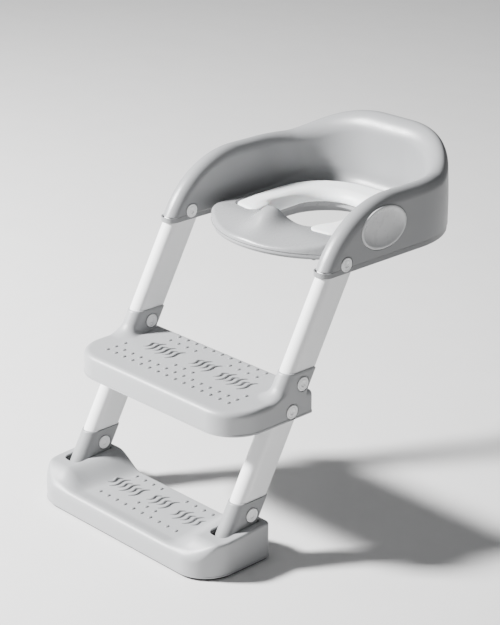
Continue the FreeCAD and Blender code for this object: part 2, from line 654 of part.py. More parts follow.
def build_fasteners():
    bolt, nut = bolt_and_nut("pivot", "pivot_y", "pivot_height", "arm_outside",
                             "arm_outside - arm_width", "pivot_barrel_radius",
                             "arm_outside - shell_wall")
    both_sides("pivot_bolt", bolt)
    both_sides("pivot_nut", nut)
    washers = []
    for index, start in enumerate(("rail_x - rail_width / 2 - washer_gap - washer_thick",
                                   "rail_x + rail_width / 2 + washer_gap")):
        ring = cylinder(f"washer_{index}", "washer_radius", "washer_thick",
                        (start, "pivot_y", "pivot_height"), "X")
        eye = cylinder(f"washer_eye_{index}", "pivot_barrel_radius + running_gap", "washer_thick",
                       (start, "pivot_y", "pivot_height"), "X")
        washer = cut(f"washer_ring_{index}", ring, eye)
        washers += [washer, mirror(f"washer_mirror_{index}", washer)]
    subpart(group("pivot_washers", washers), "pivot_washers")

    outside = "rail_x + rail_width / 2 + fit_gap + sleeve_wall"
    inside = "rail_x - rail_width / 2 - fit_gap - sleeve_wall"
    for name, along, line in (("upper_ear", "ear_bolt_upper", "ear_bolt_line"),
                              ("lower_ear", "ear_bolt_lower", "ear_bolt_line"),
                              ("foot", "foot_bolt", "foot_bolt_line")):
        y, z = rail_y(along, f"0 - {line}"), rail_z(along, f"0 - {line}")
        bolt, nut = bolt_and_nut(name, y, z, outside, inside, "barrel_radius", f"{outside} - 3")
        subpart(group(name + "_bolts", [bolt, mirror(name + "_bolt_mirror", bolt)]), name + "_bolts")
        subpart(group(name + "_nuts", [nut, mirror(name + "_nut_mirror", nut)]), name + "_nuts")


# Ladder

def d_corners(grow):
    """The rail's section: round front, flat sides, square back, grown by grow."""
    half, front, back = "rail_width / 2", "rail_front", "rail_back"
    return [
        (f"{half} + {grow}", f"{back} + {grow}", f"rail_corner + {grow}"),
        (f"{half} + {grow}", f"0 - {front} - ({grow})", f"{half} + {grow} - 0.2"),
        (f"0 - ({half}) - ({grow})", f"0 - {front} - ({grow})", f"{half} + {grow} - 0.2"),
        (f"0 - ({half}) - ({grow})", f"{back} + {grow}", f"rail_corner + {grow}")]


def d_prism(name, grow, top, bottom, across="rail_x"):
    """A prism of the rail's section between two distances down the rail."""
    body = new_body(name)
    sketch = outline(new_sketch(body, name + "_section", "XY_Plane"), d_corners(grow))
    feature = pad(body, sketch, f"{bottom} - ({top})", downwards=True)
    sketch.AttachmentOffset.Base.z = -value(top)
    bind(sketch, AttachmentOffset__Base__z=f"0 - ({top})")
    feature.Reversed = True
    return on_rail(body, across)


def hinge_end(name):
    """Stock beside and above a rail's round upper end, which is cut away."""
    body = new_body(name)
    round_end = "rail_end + fit_gap"
    sketch = outline(new_sketch(body, name + "_side", "YZ_Plane"), [
        ("-60", "0", None), (f"0 - ({round_end})", "0", None),
        (f"0 - ({round_end})", round_end, "rail_end"), (round_end, round_end, "rail_end"),
        (round_end, "0", None), ("60", "0", None), ("60", "60", None), ("-60", "60", None)])
    pad(body, sketch, "2 * rail_width", middle=True)
    return on_rail(body)


def along_x(name, radius, along, front="0"):
    """A hole along X through the right-hand rail."""
    return cylinder(name, radius, "rail_width + 12",
                    ("rail_x - rail_width / 2 - 6", rail_y(along, front), rail_z(along, front)), "X")


def build_rails():
    tube = cut("upper_tube", d_prism("upper_stock", "0", "0 - rail_front - 2", "upper_rail_end"),
               [d_prism("upper_void", "0 - rail_wall", "0 - rail_front - 8", "upper_rail_end + 5"),
                hinge_end("tube_end"),
                along_x("tube_pivot_hole", "pivot_barrel_radius + 0.4", "0"),
                along_x("tube_ear_hole", "barrel_radius + fit_gap", "ear_bolt_upper",
                        "0 - ear_bolt_line")])
    both_sides("upper_rail", tube)
    plug = cut("plug_right", d_prism("plug_stock", "0 - rail_wall - 0.1", "0 - rail_front - 2",
                                     "plug_end"),
               [hinge_end("plug_end_form"),
                along_x("plug_bore", "pivot_barrel_radius + running_gap", "0")])
    both_sides("hinge_plug", plug)
    lower = cut("lower_tube", d_prism("lower_stock", "0", "lower_rail_start", "lower_rail_end"),
                [d_prism("lower_void", "0 - rail_wall", "lower_rail_start - 5", "lower_rail_end + 5"),
                 along_x("lower_ear_hole", "barrel_radius + fit_gap", "ear_bolt_lower",
                         "0 - ear_bolt_line"),
                 along_x("lower_foot_hole", "barrel_radius + fit_gap", "foot_bolt",
                         "0 - foot_bolt_line")])
    both_sides("lower_rail", lower)


def build_middle_step():
    """Hollow step with an ear on each side; the rails meet inside the ears."""
    forms = {}
    for name, inset in (("step_block", "0"), ("step_void", "step_wall")):
        body = new_body(name)
        sketch = outline(new_sketch(body, name + "_plan", "XY_Plane"), mirrored_corners([
            (f"step_x - {inset}", f"step_rear - {inset}", "7"),
            (f"step_x - {inset}", f"step_front + {inset}", f"step_corner - {inset}")]))
        pad(body, sketch, f"tread_height - {inset} - step_bottom")
        fillet(body, f"step_edge - {inset}", lambda middle: middle.z > 30)
        forms[name] = place(body, "step_bottom")
    hollow = cut("step_shell", forms["step_block"], forms["step_void"])

    ribs = []
    foot = "tread_height - step_wall - step_rib_depth + 1"
    for along in STEP_LONG_RIBS:
        ribs.append(box(f"long_rib_{len(ribs)}", "2 * step_x - 2 * step_corner", "rib_thick",
                        "step_rib_depth", ("step_corner - step_x", f"pivot_y + {along}", foot)))
    for across in STEP_CROSS_RIBS:
        ribs.append(box(f"cross_rib_{len(ribs)}", "rib_thick", "step_rear - step_front - 8",
                        "step_rib_depth", (f"{across} - rib_thick / 2", "pivot_y + step_front + 6", foot)))
    sleeves, passages = [], []
    slab = box("ear_slab", "2 * step_x + 20", "260", "ear_top - step_bottom",
               ("0 - step_x - 10", "pivot_y - 260", "step_bottom"))
    for side, across in ((1, "rail_x"), (-1, "0 - rail_x")):
        word = "right" if side > 0 else "left"
        sleeve = d_prism(f"ear_{word}", "fit_gap + sleeve_wall", "120", "300", across)
        sleeves.append(common(f"ear_trim_{word}", [sleeve, slab]))
        passages.append(d_prism(f"ear_passage_{word}", "fit_gap", "100", "320", across))
    holes = [cylinder(f"ear_hole_{index}", "barrel_radius + fit_gap", "2 * step_x + 20",
                      ("0 - step_x - 10", rail_y(along, "0 - ear_bolt_line"),
                       rail_z(along, "0 - ear_bolt_line")), "X")
             for index, along in enumerate(("ear_bolt_upper", "ear_bolt_lower"))]
    solid = fuse("step_solid", [hollow] + ribs + sleeves)
    subpart(cut("middle_step", solid, passages + holes), "middle_step")


def build_foot_sockets():
    sleeve = d_prism("socket_stock", "fit_gap + sleeve_wall", "340", "socket_end")
    slab = box("socket_slab", "60", "300", "socket_top", ("rail_x - 30", "pivot_y - 400", "0"))
    tools = [d_prism("socket_passage", "fit_gap", "330", "lower_rail_end + fit_gap"),
             d_prism("socket_relief", "0 - rail_wall", "lower_rail_end + 4", "socket_end + 5"),
             along_x("socket_bolt_hole", "barrel_radius + fit_gap", "foot_bolt", "0 - foot_bolt_line")]
    tube = cylinder("hinge_tube", "hinge_pin_radius + 4", "rail_width",
                    ("rail_x - rail_width / 2", rail_y("hinge_along", "hinge_front"),
                     rail_z("hinge_along", "hinge_front")), "X")
    bore = along_x("hinge_bore", "hinge_pin_radius + running_gap", "hinge_along", "hinge_front")
    solid = fuse("socket_solid", [cut("socket_walls", common("socket_trim", [sleeve, slab]), tools),
                                  tube])
    both_sides("foot_socket", cut("socket_right", solid, bore))


# Base

def base_form(name, inset):
    """The base step's solid form: plan, humps in side view, tread in front view."""
    body = new_body(name)
    pad(body, base_plan(body, name + "_plan", inset), f"hump_top - {inset} - base_lift")
    side = outline(new_sketch(body, name + "_side", "YZ_Plane"), [
        ("base_front - 20", f"hump_top - nose_fall - {inset} - base_lift", None),
        ("hump_shoulder", f"hump_top - hump_fall - {inset} - base_lift", "60"),
        ("base_rear + 20", f"hump_top + 0.4 - {inset} - base_lift", None),
        ("base_rear + 20", "hump_top + 20", None), ("base_front - 20", "hump_top + 20", None)])
    pocket(body, side, "4 * base_x", middle=True)
    fillet(body, f"hump_edge - {inset}", lambda middle: middle.z > 20 and middle.y < value("base_rear") - 15)
    tread = outline(new_sketch(body, name + "_tread", "XZ_Plane"), mirrored_corners([
        (f"hump_x + 24 - {inset}", "hump_top + 20", None),
        (f"hump_x - {inset}", f"hump_top - {inset} - base_lift", "hump_round"),
        (f"tread_x - {inset} / 2", f"base_tread - {inset} - base_lift", "tread_round")]))
    pocket(body, tread, "20 - 2 * base_front", middle=True)
    return place(body, "base_lift")


def build_base_step():
    walls = cut("base_walls", base_form("base_block", "0"), base_form("base_void", "base_wall"))
    extras, slots = [], []
    half_gap = "rail_width / 2 + fit_gap + sleeve_wall + slot_gap"
    for side in (1, -1):
        word = "right" if side > 0 else "left"
        for place_name, near in (("outer", f"rail_x + {half_gap}"),
                                 ("inner", f"rail_x - ({half_gap}) - saddle_thick")):
            start = near if side > 0 else f"0 - ({near}) - saddle_thick"
            extras.append(box(f"saddle_{place_name}_{word}", "saddle_thick", "saddle_length",
                              "hump_top", (start, f"{rail_y('hinge_along', 'hinge_front')} "
                              "- saddle_length / 2", "base_lift + 2")))
        start = f"rail_x - ({half_gap})" if side > 0 else f"0 - rail_x - ({half_gap})"
        slots.append(box(f"slot_{word}", f"2 * ({half_gap})", "slot_rear - slot_front",
                         "hump_top + 20", (start, "pivot_y + slot_front", "slot_floor")))
    for across in BASE_RIBS:
        extras.append(box(f"base_rib_{len(extras)}", "rib_thick", "base_rear - base_front - 4",
                          "base_tread - base_lift - 6",
                          (f"{across} - rib_thick / 2", "pivot_y + base_front + 2", "base_lift + 4")))
    extras.append(base_frame("strip_seat", "strip_inset + strip_width + 1", "strip_seat_thick",
                             "base_lift"))
    for side in (1, -1):
        half = f"{half_gap} + saddle_thick"
        start = f"rail_x - ({half})" if side > 0 else f"0 - rail_x - ({half})"
        slots.append(cylinder(f"saddle_bore_{side}", "hinge_pin_radius + running_gap",
                              f"2 * ({half})", (start, rail_y("hinge_along", "hinge_front"),
                                                rail_z("hinge_along", "hinge_front")), "X"))
    inside = base_form("base_envelope", "1")
    solid = fuse("base_solid", [walls, common("base_extras", [fuse("base_parts", extras), inside])])
    subpart(cut("base_bored", solid, slots), "base_step")


def base_plan(body, name, inset):
    """The base step's plan, moved in by inset."""
    return outline(new_sketch(body, name, "XY_Plane"), mirrored_corners([
        (f"base_x - ({inset})", f"base_rear - ({inset})", "base_rear_corner"),
        (f"base_x - ({inset})", f"base_front + {inset}", f"base_corner - ({inset})")]))


def base_frame(name, inner, thickness, height):
    """A flat frame under the base step's edge, from the strip's inset in to inner."""
    body = new_body(name)
    pad(body, base_plan(body, name + "_edge", "strip_inset"), thickness)
    pocket(body, base_plan(body, name + "_inside", inner), thickness, downwards=True)
    return place(body, height)


def build_base_hardware():
    half = "rail_width / 2 + fit_gap + sleeve_wall + slot_gap + saddle_thick"
    pin = cylinder("base_pin", "hinge_pin_radius", f"2 * ({half})",
                   (f"rail_x - ({half})", rail_y("hinge_along", "hinge_front"),
                    rail_z("hinge_along", "hinge_front")), "X")
    both_sides("base_hinge_pin", pin)
    strip = base_frame("grip_strip", "strip_inset + strip_width", "base_lift", "0")
    subpart(strip, "base_grip_strip")


def export():
    """Check every object, then write each sub-part."""
    doc.recompute()
    for thing in doc.Objects:
        if "Invalid" in thing.State or "Error" in thing.State:
            raise RuntimeError(f"{thing.Label} failed: {thing.State}")
    os.makedirs("parts", exist_ok=True)
    for thing in SUBPARTS:
        shape = thing.Shape
        if shape.isNull() or not shape.isValid() or not shape.Solids:
            raise RuntimeError(f"{thing.Label} has no valid solid")
        shape.exportStep(f"parts/{thing.Label}.step")
        box_ = shape.BoundBox
        print(f"{thing.Label:20s} solids {len(shape.Solids)}  volume {shape.Volume / 1000:8.1f} cm3  "
              f"x {box_.XMin:7.1f} {box_.XMax:7.1f}  y {box_.YMin:7.1f} {box_.YMax:7.1f}  "
              f"z {box_.ZMin:7.1f} {box_.ZMax:7.1f}")


for build in (build_surround, build_badges, build_seat_base, build_ring, build_cushion,
              build_seat_screws, build_grip_pads, build_fasteners, build_rails, build_middle_step,
              build_foot_sockets, build_base_step, build_base_hardware):
    build()
export()
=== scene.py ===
"""Looks of a potty training seat with a folding two-step ladder.

Moulded pieces are drawn as signed distance fields in millimetres, with Y measured from the fold
axis, and meshed by surface nets.  Crisp openings are cut afterwards.
"""
import json
import math
import bmesh
import bpy
import numpy as np
from mathutils import Euler, Matrix, Vector


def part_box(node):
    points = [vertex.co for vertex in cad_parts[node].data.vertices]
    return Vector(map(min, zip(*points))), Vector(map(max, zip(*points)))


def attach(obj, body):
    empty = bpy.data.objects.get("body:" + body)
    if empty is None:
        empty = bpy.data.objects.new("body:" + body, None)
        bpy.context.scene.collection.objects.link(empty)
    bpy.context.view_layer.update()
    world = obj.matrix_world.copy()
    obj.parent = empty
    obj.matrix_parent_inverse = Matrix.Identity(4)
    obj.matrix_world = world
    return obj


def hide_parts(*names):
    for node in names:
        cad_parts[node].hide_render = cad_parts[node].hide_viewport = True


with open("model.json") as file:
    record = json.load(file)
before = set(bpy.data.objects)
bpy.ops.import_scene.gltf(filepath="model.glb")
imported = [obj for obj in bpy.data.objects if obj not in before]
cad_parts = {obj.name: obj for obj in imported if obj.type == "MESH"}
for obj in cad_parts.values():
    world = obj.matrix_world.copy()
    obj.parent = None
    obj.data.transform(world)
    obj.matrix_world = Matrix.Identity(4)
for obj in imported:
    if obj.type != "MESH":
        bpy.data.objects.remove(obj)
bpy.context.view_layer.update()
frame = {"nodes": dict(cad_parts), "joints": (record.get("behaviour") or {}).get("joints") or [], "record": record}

MM = 0.001
FOLD = next(joint for joint in frame["joints"] if joint["name"] == "ladder_fold")
PIVOT_Y, PIVOT_Z = [value / MM for value in FOLD["pos_m"][1:]]
LEAN = math.radians(60.5)


def node_box(name):
    """Low and high corners of a CAD node in the drawing frame, to a tenth of a millimetre."""
    return [[round(value / MM - shift, 1) for value, shift in zip(corner, (0, PIVOT_Y, 0))]
            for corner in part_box(name)]


(RAIL_INNER, _, _), (RAIL_OUTER, _, _) = node_box("upper_rail_right")
RAIL_X, RAIL_HALF = (RAIL_INNER + RAIL_OUTER) / 2, (RAIL_OUTER - RAIL_INNER) / 2
RAIL_FRONT, RAIL_BACK = 28.5, 20.0


# Fields: negative inside, in millimetres

def smooth(value, start, end):
    """Goes from 0 at start to 1 at end with no corner."""
    t = np.clip((value - start) / (end - start), 0, 1)
    return t * t * (3 - 2 * t)


def join(a, b, radius):
    """Union with a concave fillet."""
    reach = np.hypot(np.maximum(radius - a, 0), np.maximum(radius - b, 0))
    return np.maximum(radius, np.minimum(a, b)) - reach


def meet(a, b, radius):
    """Intersection with a rounded edge."""
    reach = np.hypot(np.maximum(radius + a, 0), np.maximum(radius + b, 0))
    return np.minimum(-radius, np.maximum(a, b)) + reach


def bend(a, b, radius, turn):
    """Intersection of two surfaces whose outward normals differ by turn, with an exact round."""
    u, v, c = a + radius, b + radius, math.cos(turn)
    along = np.sqrt(np.maximum(u * u + v * v - 2 * u * v * c, 0)) / math.sin(turn)
    return np.where((u > v * c) & (v > u * c), along - radius, np.maximum(a, b))


def open_box(across, along, half, end, radius):
    """Plan of a strip that is closed at its far end with round corners."""
    qx, qy = across - (half - radius), along - (end - radius)
    return np.hypot(np.maximum(qx, 0), np.maximum(qy, 0)) + np.minimum(np.maximum(qx, qy), 0) - radius


def slab_plan(x, y, plan, grow=0):
    """Distance to the plan of a step: large corners in front, small ones behind."""
    half, front, rear, front_radius, rear_radius = plan
    return np.maximum(open_box(np.abs(x), -y, half + grow, grow - front, front_radius + grow),
                      open_box(np.abs(x), y, half + grow, rear + grow, rear_radius + grow))


def rail_frame(y, z):
    """Distance down the rail from the fold axis, and ahead of its line."""
    down = -y * math.cos(LEAN) - (z - PIVOT_Z) * math.sin(LEAN)
    ahead = -y * math.sin(LEAN) + (z - PIVOT_Z) * math.cos(LEAN)
    return down, ahead


def rail_place(down, ahead):
    """Y and Z of a point in the rail's frame."""
    return (-down * math.cos(LEAN) - ahead * math.sin(LEAN),
            PIVOT_Z - down * math.sin(LEAN) + ahead * math.cos(LEAN))


def rail_section(x, ahead, grow):
    """The rail's section: round front, flat sides, square back."""
    nose = RAIL_FRONT - RAIL_HALF
    sides = np.hypot(np.abs(x) - RAIL_X, np.maximum(ahead - nose, 0)) - RAIL_HALF - grow
    return meet(sides, -ahead - RAIL_BACK - grow, 3 + grow)


# Surface nets

def crossings(values, axis):
    """Which grid edges along an axis cross the surface, which start inside, and how far along they cross."""
    first, last = [slice(None)] * 3, [slice(None)] * 3
    first[axis], last[axis] = slice(0, -1), slice(1, None)
    a, b = values[tuple(first)], values[tuple(last)]
    crossed = (a < 0) != (b < 0)
    return crossed, a < 0, np.where(crossed, a / np.where(crossed, a - b, 1), 0)


def net_vertices(edges, cells, low, step):
    """The mean crossing in each crossed cell, and each cell's vertex number."""
    total, count = np.zeros([3] + cells, np.float32), np.zeros(cells, np.int8)
    for axis, (crossed, _, share) in enumerate(edges):
        where = np.nonzero(crossed)
        point = [w.astype(np.float32) for w in where]
        point[axis] = point[axis] + share[where]
        others = [k for k in range(3) if k != axis]
        for back in ((0, 0), (1, 0), (0, 1), (1, 1)):
            cell = list(where)
            for k, amount in zip(others, back):
                cell[k] = cell[k] - amount
            good = np.all([(c >= 0) & (c < n) for c, n in zip(cell, cells)], axis=0)
            cell = tuple(c[good] for c in cell)
            for k in range(3):
                np.add.at(total[k], cell, point[k][good])
            np.add.at(count, cell, 1)
    used = np.nonzero(count)
    number = np.full(cells, -1, np.int64)
    number[used] = np.arange(len(used[0]))
    return np.stack([total[k][used] / count[used] * step + low[k] for k in range(3)], axis=1), number


def net_quads(edges, cells, number):
    """A quad round each crossed edge that has four cells about it, facing outwards."""
    quads = []
    for axis, (crossed, starts_inside, _) in enumerate(edges):
        where = np.nonzero(crossed)
        j, k = [n for n in range(3) if n != axis]
        inner = (where[j] > 0) & (where[k] > 0) & (where[j] < cells[j]) & (where[k] < cells[k])
        where = [w[inner] for w in where]
        ring = []
        for back_j, back_k in ((1, 1), (0, 1), (0, 0), (1, 0)):
            cell = list(where)
            cell[j], cell[k] = cell[j] - back_j, cell[k] - back_k
            ring.append(number[tuple(cell)])
        quad = np.stack(ring, axis=1)
        outward = starts_inside[tuple(where)] != (axis == 1)
        quads.append(np.where(outward[:, None], quad, quad[:, ::-1]))
    return np.concatenate(quads)


def net(field, low, high, step):
    """Vertices and quads of field = 0: a vertex in each crossed cell, a quad round each crossed edge."""
    axes = [np.arange(a, b + step, step, dtype=np.float64) for a, b in zip(low, high)]
    x, y, z = np.meshgrid(*axes, indexing="ij", sparse=True)
    values = np.broadcast_to(field(x, y, z), [len(a) for a in axes]).astype(np.float32)
    cells = [n - 1 for n in values.shape]
    edges = [crossings(values, axis) for axis in range(3)]
    vertices, number = net_vertices(edges, cells, low, step)
    return vertices, net_quads(edges, cells, number)


def settle(field, points, step):
    """Moves the vertices onto the surface by a few Newton steps."""
    small = 0.05
    for _ in range(3):
        at = field(*points.T)
        slope = np.stack([(field(*(points + small * unit).T) - at) / small for unit in np.eye(3)], axis=1)
        move = slope * (at / np.maximum((slope ** 2).sum(1), 0.05))[:, None]
        length = np.linalg.norm(move, axis=1)
        move *= np.minimum(1, 0.5 * step / np.maximum(length, 1e-9))[:, None]
        points = points - move
    return points


def mesh_object(name, points, faces):
    """An object from millimetre points in the drawing frame."""
    mesh = bpy.data.meshes.new(name)
    shifted = (np.asarray(points, float) + [0, PIVOT_Y, 0]) * MM
    mesh.from_pydata(shifted.tolist(), [], [list(map(int, face)) for face in faces])
    mesh.update()
    thing = bpy.data.objects.new(name, mesh)
    bpy.context.scene.collection.objects.link(thing)
    return thing


def moulded(name, field, low, high, step):
    """A closed mesh of a field, cut off squarely just inside its bounds."""
    def closed(x, y, z):
        value = field(x, y, z)
        for at, a, b in zip((x, y, z), low, high):
            value = np.maximum(value, 1.5 * step + np.maximum(a - at, at - b))
        return value

    points, quads = net(closed, low, high, step)
    return mesh_object(name, settle(closed, points, step), quads)


# Crisp tools and booleans

def rounded(corners, arc=8):
    """Points of an outline given by corners (x, y, radius); round stretches are arcs."""
    points = []
    for index, (x, y, radius) in enumerate(corners):
        here = Vector((x, y))
        if not radius:
            points.append(here)
            continue
        back = (Vector(corners[index - 1][:2]) - here).normalized()
        ahead = (Vector(corners[(index + 1) % len(corners)][:2]) - here).normalized()
        half = back.angle(ahead) / 2
        centre = here + (back + ahead).normalized() * (radius / math.sin(half))
        start, end = here + back * (radius / math.tan(half)), here + ahead * (radius / math.tan(half))
        a, b = start - centre, end - centre
        sweep = math.atan2(a.x * b.y - a.y * b.x, a.dot(b))
        for k in range(arc + 1):
            points.append(centre + Matrix.Rotation(sweep * k / arc, 2) @ a)
    return [(p.x, p.y) for p in points]


def both_sides(half):
    """All corners of a symmetric outline, from one side's. A corner on the middle plane comes once."""
    return half + [(-x, y, radius) for x, y, radius in reversed(half) if x]


def slab_outline(plan, grow):
    """The outline of a step, grown outwards."""
    half, front, rear, front_radius, rear_radius = plan
    return rounded(both_sides([(half + grow, rear + grow, rear_radius + grow),
                               (half + grow, front - grow, front_radius + grow)]), arc=20)


def skin(rings, count):
    """Faces of a closed skin over rings of points, with a flat face at both ends."""
    faces = [tuple(reversed(range(count))), tuple(range((rings - 1) * count, rings * count))]
    for ring in range(rings - 1):
        for k in range(count):
            here, there = ring * count, (ring + 1) * count
            n = (k + 1) % count
            faces.append((here + k, here + n, there + n, there + k))
    return faces


def prism(name, outline, start, end, axis="z"):
    """An outline carried along an axis, in the drawing frame."""
    order = {"z": (0, 1, 2), "x": (2, 0, 1)}[axis]
    points = [(*point, level) for level in (start, end) for point in outline]
    points = [tuple(point[k] for k in order) for point in points]
    return face_out(mesh_object(name, points, skin(2, len(outline))))


def face_out(thing):
    """Turns every face outwards."""
    shape = bmesh.new()
    shape.from_mesh(thing.data)
    bmesh.ops.recalc_face_normals(shape, faces=shape.faces)
    shape.to_mesh(thing.data)
    shape.free()
    return thing


def ellipse(x, y, long, short, count=64):
    turns = [2 * math.pi * k / count for k in range(count)]
    return [(x + long * math.cos(t), y + short * math.sin(t)) for t in turns]


def circle(x, y, radius):
    return ellipse(x, y, radius, radius)


def square(x0, y0, x1, y1):
    return [(x0, y0), (x1, y0), (x1, y1), (x0, y1)]


def cut_below(thing, level):
    """Cuts everything under a level, flat."""
    return boolean(thing, prism("under", square(-400, -400, 400, 400), level - 100, level))


def drill(thing, outline, side, start, end):
    """Cuts an outline (Y, Z) along X on one side, between two distances from the middle plane."""
    low, high = sorted((side * start, side * end))
    return boolean(thing, prism("drill", outline, low, high, axis="x"))


def apply_modifiers(thing):
    graph = bpy.context.evaluated_depsgraph_get()
    mesh = bpy.data.meshes.new_from_object(thing.evaluated_get(graph))
    old = thing.data
    thing.modifiers.clear()
    thing.data = mesh
    bpy.data.meshes.remove(old)
    mesh.name = thing.name
    return thing


def boolean(thing, tool, operation="DIFFERENCE"):
    """Cuts or adds a tool, which is used up."""
    bpy.context.view_layer.update()
    modifier = thing.modifiers.new("boolean", "BOOLEAN")
    modifier.operation, modifier.solver, modifier.object = operation, "MANIFOLD", tool
    apply_modifiers(thing)
    bpy.data.objects.remove(tool)
    return thing


def shade(thing, angle=32):
    """Smooth shading that keeps real edges sharp."""
    mesh = thing.data
    mesh.shade_smooth()
    mesh.set_sharp_from_angle(angle=math.radians(angle))
    return thing


# Surround

_, (ARM_OUT, REAR, _) = node_box("surround_shell")
_, (_, _, TRAY_BOTTOM) = node_box("toilet_grip_pads")
ARM_WALL, ARM_CREST, ARM_FRONT, ARM_ROUND = 35.0, 501.0, -44.0, 160
BACK_WALL, BACK_CREST, CREST_START, CREST_END = 36, 549.0, 214, 339
CORNER_RADIUS, CORNER_GAIN, INNER_RADIUS = 152, 7, 118
SHELL_BOTTOM, DECK, FLANGE_Z, FLANGE_FRONT = 409.6, 427.0, 413.5, 52
THIN_WALL, WALL_GAIN = 1.5, 0.9
BADGE_LOW, BADGE_HIGH = node_box("side_badge_right")
BADGE_Y, BADGE_Z = [(a + b) / 2 for a, b in zip(BADGE_LOW[1:], BADGE_HIGH[1:])]
BADGE_LONG, BADGE_SHORT = [(b - a) / 2 for a, b in zip(BADGE_LOW[1:], BADGE_HIGH[1:])]


def inner_plan(x, y):
    return open_box(np.abs(x), y, ARM_OUT - ARM_WALL, REAR - BACK_WALL, INNER_RADIUS)


def crest(y, z):
    """Side view: the arms' front line and round, the level arms and the rise to the back."""
    rise = BACK_CREST - ARM_CREST
    level = ARM_CREST + rise * smooth(y, CREST_START, CREST_END)
    t = np.clip((y - CREST_START) / (CREST_END - CREST_START), 0, 1)
    slope = rise * 6 * t * (1 - t) / (CREST_END - CREST_START)
    above = (z - level) / np.sqrt(1 + slope ** 2)
    ahead = (z - TRAY_BOTTOM) * math.cos(LEAN) - (y - ARM_FRONT) * math.sin(LEAN)
    return bend(above, ahead, ARM_ROUND, LEAN)


def surround_wall(x, y, z):
    """The full thickness of arms and back. The rear corners grow rounder with height."""
    radius = CORNER_RADIUS + CORNER_GAIN * smooth(z, 440, 535)
    plan = np.maximum(open_box(np.abs(x), y, ARM_OUT, REAR, radius), -inner_plan(x, y))
    return meet(crest(y, z), plan, 17)


def surround_field(x, y, z):
    """Wall, and the flange round the seat, coved up to the wall at the back."""
    flange = np.maximum(np.maximum(inner_plan(x, y) - 3, z - FLANGE_Z), FLANGE_FRONT - y)
    return join(surround_wall(x, y, z), flange, 3 + 22 * smooth(y, 150, 262))


def surround_void(x, y, z):
    """The hollow inside the wall, which is thinnest where the folded rails pass."""
    return surround_wall(x, y, z) + THIN_WALL + WALL_GAIN * smooth(y, 15, 60)


def badge_oval(grow, count=64):
    return ellipse(BADGE_Y, BADGE_Z, BADGE_LONG + grow, BADGE_SHORT + grow, count)


def build_surround():
    """The walls, hollow from below, with seats for the pivot caps and the badges."""
    low, high = (-192, -60, 400), (192, 324, 556)
    shell = moulded("surround", surround_field, low, high, 2.4)
    cut_below(shell, SHELL_BOTTOM)
    boolean(shell, moulded("surround_inside", surround_void, (-192, -60, 396), high, 3))
    boolean(shell, prism("ring_well", ring_outline(0.5), SHELL_BOTTOM - 10, DECK + 20))
    for side in (1, -1):
        for face, depth in ((ARM_OUT, -1.1), (ARM_OUT - ARM_WALL, 1.1)):
            drill(shell, circle(0, PIVOT_Z, CAP_SEAT), side, face - 2 * depth, face + depth)
        drill(shell, badge_oval(1.3), side, ARM_OUT - 1.2, ARM_OUT + 3)
        drill(shell, badge_oval(-3.8), side, ARM_OUT - 8, ARM_OUT + 3)
    shade(shell)
    wear(shell, MATERIALS["shell"], "seat_unit")
    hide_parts("surround_shell")


def build_badge(side, word):
    """An oval badge: raised rim, concave dish, and a plug that fills the hole in the arm."""
    profile = [(0, -1.1), (0, 0.6), (0.3, 1.1), (1.0, 1.5), (2.4, 1.6), (3.8, 1.2), (4.6, 0.4),
               (6, -0.9), (9, -2.7), (14, -4.4), (20, -5.4), (27, -5.8)]
    plug = [(4, -8), (4, -1.1)]
    count = 96
    points = []
    for inset, proud in plug + profile:
        points += [(side * (ARM_OUT + proud), *point) for point in badge_oval(-inset, count)]
    badge = face_out(mesh_object(f"badge_{word}", points, skin(len(plug + profile), count)))
    shade(badge, 40)
    wear(badge, MATERIALS["badge"], "seat_unit")
    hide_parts(f"side_badge_{word}")


# Seat ring

(_, _, LIP_BOTTOM), _ = node_box("seat_ring")
RING_X, RING_WAIST, RING_REAR, RING_REAR_RADIUS = 130.0, 121.0, 263.4, 103.0
NOSE_Y, NOSE_RADIUS, NOSE_CORNER, LIP_HEIGHT, LIP_REAR = 144.0, 178.0, -83, 3.4, 46
HOLE_X, HOLE_FRONT, HOLE_REAR = 69.0, 47.0, 206.0
FRONT_EDGE, HORN_Y, HORN_HEIGHT, HORN_RADIUS = 412, 28, 27, 25


def ring_outline(grow):
    half = [(RING_WAIST + grow, RING_REAR + grow, RING_REAR_RADIUS + grow),
            (RING_WAIST + grow, 68 + grow, 18 - grow), (RING_X + grow, 50 + grow, 18 + grow),
            (RING_X + grow, 21, 36 + grow), (0, NOSE_CORNER - 1.28 * grow, NOSE_RADIUS + grow)]
    return rounded(both_sides(half), arc=20)


def ring_plan(x, y):
    """Narrow beside the cushion, with a lobe on each side in front, and a wide round nose."""
    beside = open_box(np.abs(x), y, RING_WAIST, RING_REAR, RING_REAR_RADIUS)
    lobes = open_box(np.abs(x), y, RING_X, 60, 16)
    nose = np.hypot(x, y - NOSE_Y) - NOSE_RADIUS
    return bend(join(beside, lobes, 8), nose, 40, math.radians(43))


def hole_plan(x, y):
    """The way through the seat: round behind, squarer in front."""
    return np.maximum(open_box(np.abs(x), y, HOLE_X, HOLE_REAR, 64),
                      open_box(np.abs(x), -y, HOLE_X, -HOLE_FRONT, 46))


def ring_top(x, y):
    """Height of the deck: level, falling to the front lip, with the splash guard's horn."""
    deck = FRONT_EDGE + (DECK - FRONT_EDGE) * smooth(y, -42, 38)
    ridge = HORN_Y + 0.38 * (np.sqrt(x * x + 144) - 12)
    rear = 1 - smooth(y - ridge, -1, 24)
    away = np.hypot(x, 0.7 * np.minimum(y - HORN_Y, 0))
    return deck + HORN_HEIGHT / (1 + (away / HORN_RADIUS) ** 3) ** 1.15 * rear


